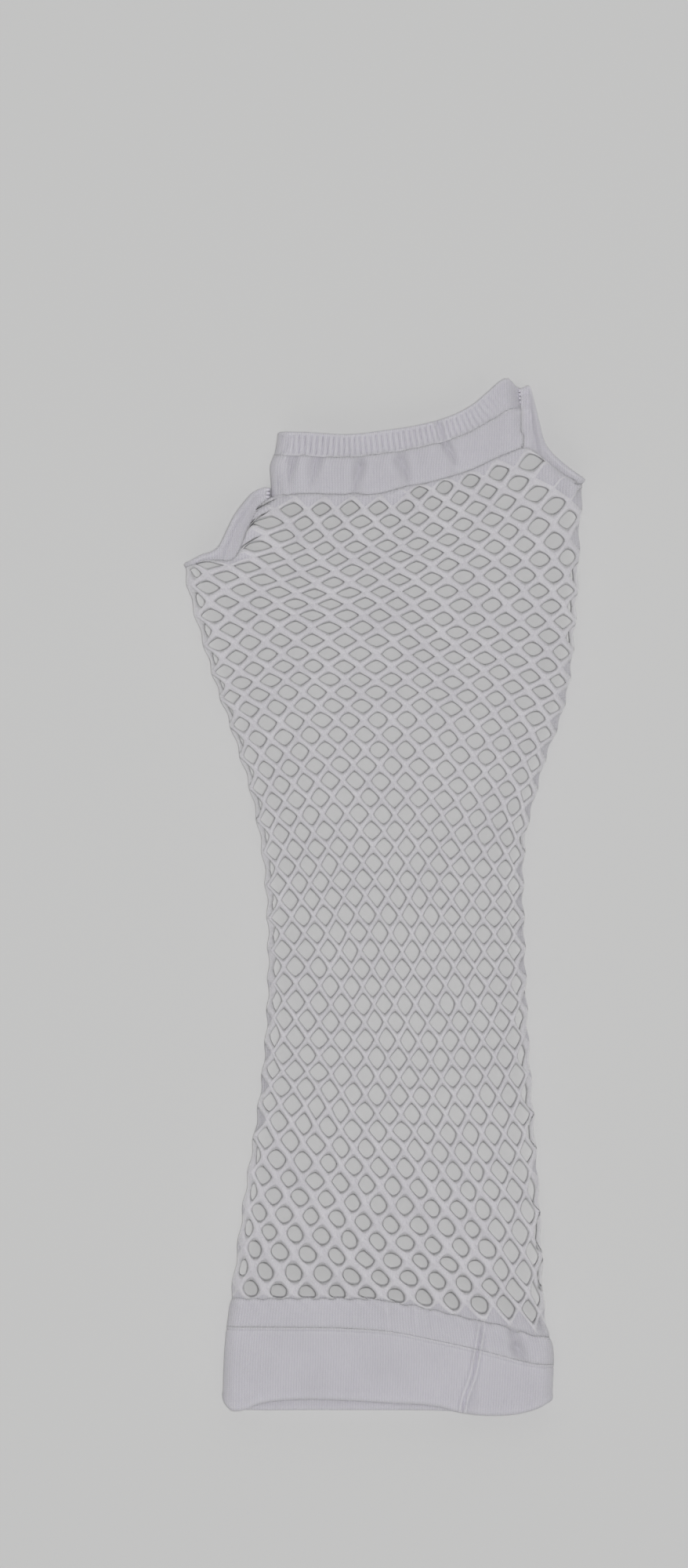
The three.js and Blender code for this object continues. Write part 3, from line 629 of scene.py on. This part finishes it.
def net_spread_out():
    """The front's net spread out flat. Round each hole lie three bands of faces, from the middle of the
    strands' outside over their shoulder and the rim of the hole to the middle of their inside. A hole that
    a band mostly covers is knitted closed."""
    holes = [(c, k) for k in net_row_range for c in net_column_range if (c + k) % 2 == 0]
    column, row = np.array(holes, float).T
    across, y = lattice_place(column, row)
    tall = (lattice_place(column, row + 1)[1] - lattice_place(column, row - 1)[1]) / 2
    left, right, _ = sides_of(palm_tube, y)
    wide = (right - left) / half_columns
    used = np.zeros(len(row), bool)
    for aside, up in ((-1, 0), (1, 0), (0, -1), (0, 1)):
        corner_across, corner_y = lattice_place(column + aside, row + up)
        corner_x = left + corner_across * (right - left)
        beyond = tip_beyond if up else -side_inside
        used = used | ((corner_y < edge_y(net_upper_edge, corner_x) + beyond)
                       & (corner_y > edge_y(net_lower_edge, corner_x) - beyond))
    used = used & (across > -past_folds) & (across < 1 + past_folds)
    # from here on each cell has a row, and each point round its hole a column
    column, row, across, y, tall, left, right, wide = (
        values[used, None] for values in (column, row, across, y, tall, left, right, wide))
    x = left + across * (right - left)
    high, low = edge_y(net_upper_edge, x), edge_y(net_lower_edge, x)
    pull = ease((across - pulled_place) / pulled_change) * (1 - ease((row - pulled_row) / pulled_rows))
    sizes = {name: smooth(net_rows, name, row, "row") for name in pulled_hole}
    reach_c, reach_k, strand = (size + (pulled_hole[name] - size) * pull for name, size in sizes.items())
    slope = slope_of(net_upper_edge, x)
    reach_up = np.hypot(reach_c * wide * slope, reach_k * tall)
    clear_above = (high - y - reach_up) / np.hypot(1, slope)
    seen_below = (y + reach_k * tall - low) / (2 * reach_k * tall)
    lids_at = ((clear_above < closed_above + closed_by_thumb * ridge(x - thumb_stitches, thumb_reach))
               | (seen_below < seen_least) | (np.minimum(across, 1 - across) < -closed_past_fold))
    knitted_closed = lids_at[:, 0]
    # the outline of each hole is a diamond or a rounder form, so that its strands are as broad as they
    # should be halfway between the knots
    distance = wide * tall / np.hypot(wide, tall)
    count = net_points_round_a_hole
    angle = np.arange(count) / count * 2 * math.pi
    by_cuff = near_cuff(row)
    on_palm = ease((row - palm_row) / palm_rows)
    uneven = np.random.default_rng(yarn_seed).normal(size=(5, len(row)))[..., None]
    reach_c, reach_k = reach_c * (1 + uneven_hole * uneven[0]), reach_k * (1 + uneven_hole * uneven[1])
    falling = np.where((np.arange(count) * 4 // count) % 2 == 0, 1, -1)
    broad = strand * (1 + uneven_strand * uneven[2]) * (1 + broader_strand * by_cuff * falling)
    squareness = np.clip(-1 / np.log2((1 - broad / distance) / (reach_c + reach_k)), 1, 3)
    edge_c = np.sign(np.cos(angle)) * np.cos(angle)**2
    edge_k = np.sign(np.sin(angle)) * np.sin(angle)**2
    rim_c = reach_c * np.sign(np.cos(angle)) * np.abs(np.cos(angle))**(2 / squareness)
    rim_k = reach_k * np.sign(np.sin(angle)) * np.abs(np.sin(angle))**(2 / squareness)
    wobble = 1 + wobble_2 * np.sin(2 * angle + 3 * uneven[3]) + wobble_3 * np.sin(3 * angle + 3 * uneven[4])
    rim_c, rim_k = rim_c * wobble, rim_k * wobble
    # a rim is soft all round, but crisp at the lower left near the cuff and at the upper right on the palm
    crisp = (by_cuff * np.maximum(0, np.cos(angle - math.radians(225)))**2
             + on_palm * np.maximum(0, np.cos(angle - math.radians(45)))**2)
    width = right - left
    from_fold = np.minimum(across, 1 - across) * width
    over = strand_over * np.sin(2 * angle) * ease((from_fold - level_by_fold) / level_change)
    plump = knot_plump * by_cuff * np.cos(2 * angle)**4
    half = net_thickness / 2
    middle, shoulder, rim, inside_middle = range(4)
    level_shares = [0 * crisp, soft_shoulder + (crisp_shoulder - soft_shoulder) * crisp, 1 + 0 * crisp,
                    0 * crisp]
    level_heights = [half + plump, half * (soft_height + (crisp_height - soft_height) * crisp) + plump / 2,
                     rim_height * half + 0 * crisp, -half - plump]
    edge_place = lattice_place(column + edge_c, row + edge_k)
    rim_place = lattice_place(column + rim_c, row + rim_k)
    # no rim comes nearer to a fold than the edge strand is wide
    for fold, way in ((0, 1), (1, -1)):
        inside = way * (rim_place[0] - fold) * width
        near, far = inside.min(axis=1, keepdims=True), inside.max(axis=1, keepdims=True)
        drawn_in = edge_strand + (inside - near) / (far - near) * (far - edge_strand)
        beside = (near < edge_strand) & (far > edge_strand) & (np.abs(across - fold) < by_fold)
        rim_place = np.where(beside, fold + way * drawn_in / width, rim_place[0]), rim_place[1]
    # points of neighbouring cells that share a place, to this fraction of a half column, become one
    fineness = 500
    points, keys = [], []
    number = np.arange(len(column))[:, None] * np.ones(count)
    for level, (share, height) in enumerate(zip(level_shares, level_heights)):
        inward = share * np.where(lids_at, closed_reach, 1)
        spot = [outer + (inner - outer) * inward for outer, inner in zip(edge_place, rim_place)]
        points.append(np.stack([*spot, height + over], axis=-1))
        own = number + 1 if level in (shoulder, rim) else 0 * number
        c, k = np.round(fineness * (column + edge_c)), np.round(fineness * (row + edge_k))
        keys.append(np.stack([c, k, own, 0 * number + level], axis=-1))
    points, keys = np.stack(points, 1).reshape(-1, 3), np.stack(keys, 1).reshape(-1, 4).astype(int)
    _, first, index = np.unique(keys, axis=0, return_index=True, return_inverse=True)
    points = points[first]
    index = index.reshape(len(column), 4, count)
    beside = np.roll(index, -1, axis=2)
    # cloth coordinates: along the strand, and from its middle to its rim
    after_c, after_k = np.roll(edge_c, -1), np.roll(edge_k, -1)
    start = ((row + edge_k) - falling * (column + edge_c)) * strand_stitches / 2
    end = ((row + after_k) - falling * (column + after_c)) * strand_stitches / 2
    outward = [0, .6, 1, 0]
    quads, quad_uvs = [], []
    for level in (middle, shoulder, rim):
        rows_used = slice(None) if level == middle else ~knitted_closed
        quad = np.stack([index[:, level], beside[:, level], beside[:, level + 1], index[:, level + 1]],
                        axis=-1)
        near = outward[level] * strand + 0 * start
        far = outward[level + 1] * strand + 0 * start
        uv = np.stack([start, near, end, near, end, far, start, far], axis=-1)
        quads.append(quad[rows_used].reshape(-1, 4))
        quad_uvs.append(uv[rows_used].reshape(-1, 2))
    # the open ends are closed with a wall from the outside to the inside
    pair = np.stack([index[:, middle], beside[:, middle], beside[:, inside_middle], index[:, inside_middle]],
                    axis=-1).reshape(-1, 4)
    _, place, uses = np.unique(np.sort(pair[:, :2], axis=1), axis=0, return_inverse=True, return_counts=True)
    walls = pair[uses[place.reshape(-1)] == 1][:, [1, 0, 3, 2]]
    quads.append(walls)
    quad_uvs.append(np.zeros((len(walls) * 4, 2)))
    # a closed hole has a lid outside and inside, its cloth coordinates about as wide as the tube
    tube_width = .11
    lids, lid_uvs = [], []
    for level, way_up in ((shoulder, 1), (inside_middle, -1)):
        ring, ring_beside = index[knitted_closed, level], beside[knitted_closed, level]
        centres = np.stack([across[lids_at], y[lids_at],
                            np.full(lids_at.sum(), way_up * half * lid_height)], axis=-1)
        centre = len(points) + np.arange(len(centres))[:, None] + 0 * ring
        points = np.concatenate([points, centres])
        lid = np.stack([ring, ring_beside, centre][::way_up], axis=-1).reshape(-1, 3)
        lids.append(lid)
        lid_uvs.append((points[lid][..., :2] * (tube_width, 1)).reshape(-1, 2))
    faces = np.concatenate(quads).tolist() + np.concatenate(lids).tolist()
    plain = np.zeros(len(faces), np.int32)
    plain[len(faces) - sum(len(lid) for lid in lids):] = 1
    return points, faces, np.concatenate(quad_uvs + lid_uvs), plain


def net_round_tube():
    """The spread-out front cut at both folds, and its mirror image behind it, as one closed surface."""
    points, faces, uvs, plain = net_spread_out()
    flat = bpy.data.meshes.new("net_spread_out")
    flat.from_pydata(points.tolist(), [], faces)
    flat.uv_layers.new(name="cloth").data.foreach_set("uv", uvs.reshape(-1))
    flat.polygons.foreach_set("material_index", plain)
    work = bmesh.new()
    work.from_mesh(flat)
    # cut off at both folds, and cut once more close beside them, so that it turns over there evenly
    for place, way, clear in ((0, -1, True), (1, 1, True), (.003, -1, False), (.997, 1, False)):
        bmesh.ops.bisect_plane(work, geom=work.verts[:] + work.edges[:] + work.faces[:], dist=1e-6,
                               plane_co=(place, 0, 0), plane_no=(way, 0, 0), clear_outer=clear)
    unused = [point for point in work.verts if not point.link_faces]
    bmesh.ops.delete(work, geom=unused, context="VERTS")
    work.to_mesh(flat)
    work.free()
    points = np.empty(len(flat.vertices) * 3, np.float32)
    flat.vertices.foreach_get("co", points)
    points = points.reshape(-1, 3).astype(float)
    uvs = np.empty(len(flat.loops) * 2, np.float32)
    flat.uv_layers["cloth"].data.foreach_get("uv", uvs)
    uvs = uvs.reshape(-1, 2)
    plain = np.empty(len(flat.polygons), np.int32)
    flat.polygons.foreach_get("material_index", plain)
    front = [list(face.vertices) for face in flat.polygons]
    turned = [loop for face in flat.polygons for loop in reversed(face.loop_indices)]
    bpy.data.meshes.remove(flat)
    on_fold = np.minimum(np.abs(points[:, 0]), np.abs(points[:, 0] - 1)) < 1e-5
    points[on_fold, 2] = np.sign(points[on_fold, 2]) * net_thickness * edge_half
    twin = np.where(on_fold, np.arange(len(points)), len(points) - 1 + np.cumsum(~on_fold))
    back = [[int(twin[i]) for i in reversed(face)] for face in front]
    placed = [on_tube(points[:, 0], points[:, 1], points[:, 2], side) for side in (1, -1)]
    points = np.concatenate([placed[0], placed[1][~on_fold]])
    return points, front + back, np.concatenate([uvs, uvs[turned]]), np.concatenate([plain, plain])


# a stitch of the strand's chain, its slant, and the width over which a strand turns down into a hole
stitch = .0009
slant = .0007
turn_down = .0007


def chain_stitches(step, along, off_middle, fuzz, patches):
    """Each strand is a chain of stitches, so its surface is a row of shallow chevrons. They fade out where
    the strand turns down into a hole. Their hollows are also painted a little darker as shade."""
    place = step("ADD", step("MULTIPLY", along, 1 / stitch), step("MULTIPLY", off_middle, 1 / slant))
    clear = step("MAXIMUM", 0.0, step("SUBTRACT", 1.0, step("MULTIPLY", off_middle, 1 / turn_down)))
    chain = step("MULTIPLY", clear, step("SINE", step("MULTIPLY", place, 2 * math.pi)))
    height = step("ADD", step("MULTIPLY", chain, 0.6), fuzz)
    # its colour: random patches of tone, and a little painted shade, darker in the chevrons' hollows and
    # lighter on their tops
    return height, step("ADD", step("MULTIPLY", patches, 0.7), step("MULTIPLY", chain, 0.1))


# the net's colour runs from a darker one to its own: random patches and a little painted shade of the
# chevrons move it between them
net_material = yarn_material("net_yarn_chain", chain_stitches, roughness=0.8, sheen=0.8, fuzz_scale=1600,
                             patch_scale=90, bump=.00008, ends=(0.15, 0.6),
                             shades=((.740, .724, .758), (.845, .828, .863)))
net_points, net_faces, net_uvs, knitted_plain = net_round_tube()
net = knitted("net", net_points, net_faces, net_uvs, net_material, "net_tube")
net.data.materials.append(border_material)
net.data.polygons.foreach_set("material_index", knitted_plain)

# THUMB BAND
# The plain-knit edge of the thumb opening, between the net and the thumb. It wraps the outer fold, and
# its free edge curls a little.
plain_wall = .0015
thumb_band_end = -.0353
thumb_edge = {
    "x": [-.070, -.060, -.0543, -.0515, -.0494, -.0473, -.0452, -.0423, -.0397, -.0375, -.0350, -.030],
    "y": [.0999, .1004, .1028, .1037, .1054, .1098, .1141, .1181, .1211, .1224, .1231, .1232],
}
thumb_folds = {
    "x1": [-.0395, -.0452], "y1": [.1195, .1085], "x2": [-.0435, -.0476], "y2": [.1090, .1048],
    "width": [.0012, .0012], "depth": [-.0006, .0004],
}
thumb_material = knit_material("thumb_knit")
# the curled edge: a ridge and the hollow behind it, each its height, distance from the edge and width
thumb_curl = [(.00035, .0010, .0006), (-.00025, .0023, .0005)]
# the three bands that end the net at the openings reach over its end a little
over_net = .0003
above_net = edge_along(net_upper_edge, -over_net)
thumb_upper = edge_along(thumb_edge)


def across_at(sections, x, y):
    """The share of the way across the flat of the tube at a place."""
    left, right, top = (float(side) for side in sides_of(sections, y))
    return (x - left - top / 2) / (right - left - top)


def sinks_at_openings(x, y):
    """The dips where the strands of the net grow out of such a band."""
    return sinks_under_net((y - above_net(x, 1.0)) / np.hypot(1, slope_of(net_upper_edge, x)))


def rolled(edge, x, y, parts):
    """The ridges and hollows beside a band's rolled edge."""
    from_edge = (edge_y(edge, x) - y) / np.hypot(1, slope_of(edge, x))
    return sum(height * ridge(from_edge - middle, width) for height, middle, width in parts)


def thumb_relief(x, y, facing, share):
    return rolled(thumb_edge, x, y, thumb_curl) + sinks_at_openings(x, y)


thumb_band = band("thumb_band_knit", "thumb_band", thumb_material, palm_tube,
                  places_round(100, 60, (0.0, across_at(palm_tube, thumb_band_end, .119)), "left"),
                  above_net, thumb_upper, plain_wall, np.linspace(0, 1, 24), thumb_relief, thumb_folds,
                  (butted, plain_wall / 2), closed=False)

# FINGER BORDER
# The plain-knit border between the net and the ribbed band. The band draws it in, so it lies in soft
# gathers that run down from the band into the net.
finger_tube = {
    "y": [.112, .123, .129, .134, .140, .156],
    "left": [-.0342, -.0339, -.0340, -.0326, -.0318, -.0316],
    "right": [.0414, .0414, .0414, .0414, .0416, .0410],
    "top": [.0095, .0094, .0094, .0093, .0093, .0092],
}
border_tube = dict(finger_tube, right=[.060] * 6)
finger_border_end = .0420
band_lower_edge = {
    "x": [-.070, -.0247, -.0111, .0024, .0118, .0198, .0263, .033, .038, .070],
    "y": [.133, .1326, .132, .1335, .1352, .1373, .1398, .1435, .1462, .148],
}
gathers = {
    "x1": [-.0273, -.0200, -.0071, .0049, .0181, -.0328, -.0312, -.0289, -.0297],
    "y1": [.1318, .1318, .1296, .1312, .1367, .1268, .1262, .1299, .1244],
    "x2": [-.0285, -.0216, -.0088, .0071, .0212, -.0328, -.0312, -.0297, -.0287],
    "y2": [.1252, .1249, .1225, .1258, .1310, .1195, .1205, .1244, .1190],
    "width": [.0013, .0015, .0013, .0014, .0011, .0006, .0005, .0008, .0008],
    "depth": [.0034, .0033, .0034, .0038, .0038, -.0005, .0015, -.0004, -.0004],
}
gather_upper = edge_along(band_lower_edge, joined)
border_knit = knit_material("gathered_knit")
# the fine waves between the gathers: how high, half as long, how uneven, and how far below the band
gather_wave = .00022
gather_wave_length = .0036
gather_wave_drift = .011
gather_wave_middle, gather_wave_width = .003, .003


def gather_relief(x, y, facing, share):
    from_band = gather_upper(x, facing) - y
    wave = np.sin(x / gather_wave_length * math.pi + 2 * np.sin(x / gather_wave_drift))
    wave = gather_wave * wave * ridge(from_band - gather_wave_middle, gather_wave_width)
    return wave + sinks_at_openings(x, y)


finger_border = band("finger_border_knit", "finger_border", border_knit, border_tube,
                     places_round(300, 80, (0.0, across_at(border_tube, finger_border_end, .140)), "left"),
                     above_net, gather_upper, plain_wall, np.linspace(0, 1, 28), gather_relief, gathers,
                     (butted, butted), closed=False)

# FINGER BAND
# The ribbed band round the three middle fingers: fine ribs of one stitch, square to the band's edge.
# Towards the little finger the ribs are stretched flat.
rib_wall = .0020
rib_pitch = .0017
rib_depth = .0007
# the ribs start and end softly over a seventh of the band, and from this x on they are stretched flat
ribs_start = 7
stretched_flat = .8
stretched_from, stretched_change = .027, .008
# the band reaches over the border a little, and its free rim is rounded over this length
over_border = .00035
rib_rim = .0007
band_upper_edge = {
    "x": [-.070, -.0247, -.0111, .0024, .0118, .0198, .0263, .031, .0356, .038, .0406, .070],
    "y": [.1399, .1395, .1388, .1403, .1419, .1442, .1474, .1512, .1551, .1555, .1532, .1526],
}
band_crease = {
    "x1": [.0161], "y1": [.1425], "x2": [.0181], "y2": [.1367], "width": [.0008], "depth": [.0024],
}
rib_lower = edge_along(band_lower_edge, -over_border)
rib_upper = edge_along(band_upper_edge)
rib_material = knit_material("rib_knit", course=.0006, bump=.00008)


def rib_relief(x, y, facing, share):
    square = x + (y - rib_lower(x, facing)) * slope_of(band_lower_edge, x)
    ends = np.minimum(1, np.minimum(share, 1 - share) * ribs_start)
    flattened = 1 - stretched_flat * ease((x - stretched_from) / stretched_change)
    groove = 1 - np.abs(np.sin(math.pi * square / rib_pitch))
    return -rib_depth * groove * ends * flattened * np.abs(facing)


finger_band = band("finger_band_rib", "finger_band", rib_material, finger_tube,
                   places_round(560, 210), rib_lower, rib_upper, rib_wall, np.linspace(0, 1, 14),
                   rib_relief, band_crease, (butted, rib_rim))

# LITTLE FINGER BAND
# The plain edge of the little finger's opening, rolled over towards the front, from the stitches
# beside the ring finger to the outer fold.
little_start = .0411
little_finger_edge = {
    "x": [.0405, .0420, .0439, .0453, .0466, .0479, .0498, .053, .0563, .061, .070],
    "y": [.1524, .1530, .1532, .1483, .1428, .1374, .1341, .1309, .1283, .1258, .124],
}
little_folds = {
    "x1": [.0433, .0418], "y1": [.1515, .1525], "x2": [.0440, .0419], "y2": [.1430, .1400],
    "width": [.0009, .0008], "depth": [.0009, -.0003],
}
little_roll = [(.0005, .0010, .0006), (-.00035, .0024, .0005)]
little_upper = edge_along(little_finger_edge)
little_material = knit_material("little_knit")


def little_relief(x, y, facing, share):
    return rolled(little_finger_edge, x, y, little_roll) + sinks_at_openings(x, y)


little_span = (across_at(palm_tube, little_start, .145), 1.0)
little_finger_band = band("little_finger_band_knit", "little_finger_band", little_material,
                          palm_tube, places_round(120, 60, little_span, "right"), above_net, little_upper,
                          plain_wall, np.linspace(0, 1, 30), little_relief, little_folds,
                          (butted, plain_wall / 2), closed=False)

# TACKS
# Short bundles of sewing thread that close the tube between the openings: several turns of thread
# through both layers, side by side.
tack_material = bpy.data.materials.new("sewing_thread")
tack_material.use_nodes = True
tack_nodes, tack_links = tack_material.node_tree.nodes, tack_material.node_tree.links
tack_shader = tack_nodes["Principled BSDF"]
tack_shader.inputs["Base Color"].default_value = (.85, .83, .89, 1)
tack_shader.inputs["Roughness"].default_value = 0.7
tack_place = tack_nodes.new("ShaderNodeTexCoord")
tack_twist = tack_nodes.new("ShaderNodeTexWave")
tack_twist.inputs["Scale"].default_value = 900
tack_twist.bands_direction = "DIAGONAL"
tack_links.new(tack_place.outputs["Object"], tack_twist.inputs["Vector"])
tack_bump = tack_nodes.new("ShaderNodeBump")
tack_bump.inputs["Distance"].default_value = .00006
tack_links.new(tack_twist.outputs["Fac"], tack_bump.inputs["Height"])
tack_links.new(tack_bump.outputs["Normal"], tack_shader.inputs["Normal"])


def tack(name, node, x_start, x_end, y_start, y_end, low, high, turns):
    """Turns of thread as closed rings side by side, each a little askew."""
    sides, steps = 8, 28
    askew = .5
    # a ring is flatter above and below, and at both ends, than an ellipse
    flat_x, flat_z = .6, .8
    thread = (y_end - y_start) / (2 * turns)
    points, faces = [], []
    for turn in range(turns):
        y = y_start + thread * (2 * turn + 1)
        lean = thread * askew * (-1)**turn
        for i in range(steps):
            a = 2 * math.pi * i / steps
            out = np.array([math.cos(a), 0, math.sin(a)])
            round_x = math.copysign(abs(math.cos(a))**flat_x, math.cos(a))
            round_z = math.copysign(abs(math.sin(a))**flat_z, math.sin(a))
            middle = np.array([(x_start + x_end) / 2 + ((x_end - x_start) / 2 - thread) * round_x,
                               y + lean * math.sin(a),
                               (low + high) / 2 + ((high - low) / 2 - thread) * round_z])
            for j in range(sides):
                b = 2 * math.pi * j / sides
                points.append(middle + thread * (out * math.cos(b) + np.array([0, 1, 0]) * math.sin(b)))
                here = turn * steps * sides + i * sides
                after = turn * steps * sides + (i + 1) % steps * sides
                beside = (j + 1) % sides
                faces.append((here + j, here + beside, after + beside, after + j))
    uvs = np.zeros((len(faces), 4, 2))
    return knitted(name, np.array(points), faces, uvs, tack_material, node)


tack("thumb_tack_threads", "thumb_tack", -.0366, -.0340, .1184, .1228, .0004, .0060, 8)
tack("finger_tack_threads", "finger_tack", .0402, .0426, .1480, .1526, .0004, .0050, 8)

# FLOOR, LIGHT AND CAMERA
# A plain pale surface, a soft light almost straight above it in a pale surround, and a camera straight
# above, far enough away for the view to be almost without perspective.
floor_reach = 2
floor_top = -.0003
floor_mesh = bpy.data.meshes.new("floor")
floor_mesh.from_pydata([(-floor_reach, -floor_reach, floor_top), (floor_reach, -floor_reach, floor_top),
                        (floor_reach, floor_reach, floor_top), (-floor_reach, floor_reach, floor_top)],
                       [], [(0, 1, 2, 3)])
floor = bpy.data.objects.new("floor", floor_mesh)
bpy.context.collection.objects.link(floor)
floor_material = bpy.data.materials.new("pale_floor")
floor_material.use_nodes = True
floor_shader = floor_material.node_tree.nodes["Principled BSDF"]
floor_shader.inputs["Base Color"].default_value = (.80, .80, .795, 1)
floor_shader.inputs["Roughness"].default_value = 0.9
floor_mesh.materials.append(floor_material)

world = bpy.data.worlds.new("studio")
bpy.context.scene.world = world
world.use_nodes = True
world.node_tree.nodes["Background"].inputs["Color"].default_value = (1, 1, 1, 1)
world.node_tree.nodes["Background"].inputs["Strength"].default_value = 0.28

lamp = bpy.data.lights.new("softbox", "AREA")
lamp.shape = "DISK"
lamp.size = 0.24
lamp.energy = 41
softbox = bpy.data.objects.new("softbox", lamp)
bpy.context.collection.objects.link(softbox)
softbox.location = (.05, .05, 3.2)
softbox.rotation_euler = (math.radians(-1), math.radians(1), 0)

# the photo's size, its scale, and where the glove's origin lies in it
photo_width, photo_height = 878, 2000
metres_per_pixel = .0002352
photo_origin = (490, 1144)
camera_height = 3.0
glove_front = .008
sensor = 36
camera_data = bpy.data.cameras.new("camera")
camera_data.sensor_width = sensor
camera_data.lens = sensor * (camera_height - glove_front) / (photo_height * metres_per_pixel)
camera = bpy.data.objects.new("camera", camera_data)
bpy.context.collection.objects.link(camera)
camera.location = ((photo_width / 2 - photo_origin[0]) * metres_per_pixel,
                   (photo_origin[1] - photo_height / 2) * metres_per_pixel, camera_height)
bpy.context.scene.camera = camera
bpy.context.scene.view_settings.view_transform = "Standard"
